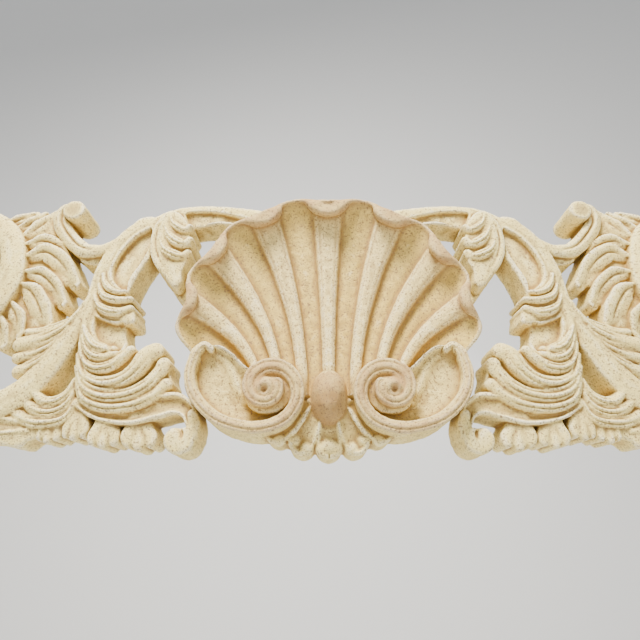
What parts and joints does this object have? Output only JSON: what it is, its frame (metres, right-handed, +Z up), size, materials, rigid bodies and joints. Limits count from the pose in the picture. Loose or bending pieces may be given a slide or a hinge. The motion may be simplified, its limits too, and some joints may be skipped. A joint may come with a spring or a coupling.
{
  "type": "pediment section",
  "caption": "Cast stone pediment section: a ribbed shell cartouche with scrolls and an egg between two acanthus wings, flat-backed to hang or fix.",
  "frame": {"origin": "on the flat back, in the middle of the length, at the height of the shell's middle", "axes": "+X along the wings to the right as seen from the front, +Y into the wall, +Z up"},
  "size_m": [1.22, 0.1173, 0.4578],
  "materials": {
    "cast_stone": "matte"
  },
  "bodies": {
    "root": {"pediment": "cast_stone"}
  },
  "joints": []
}
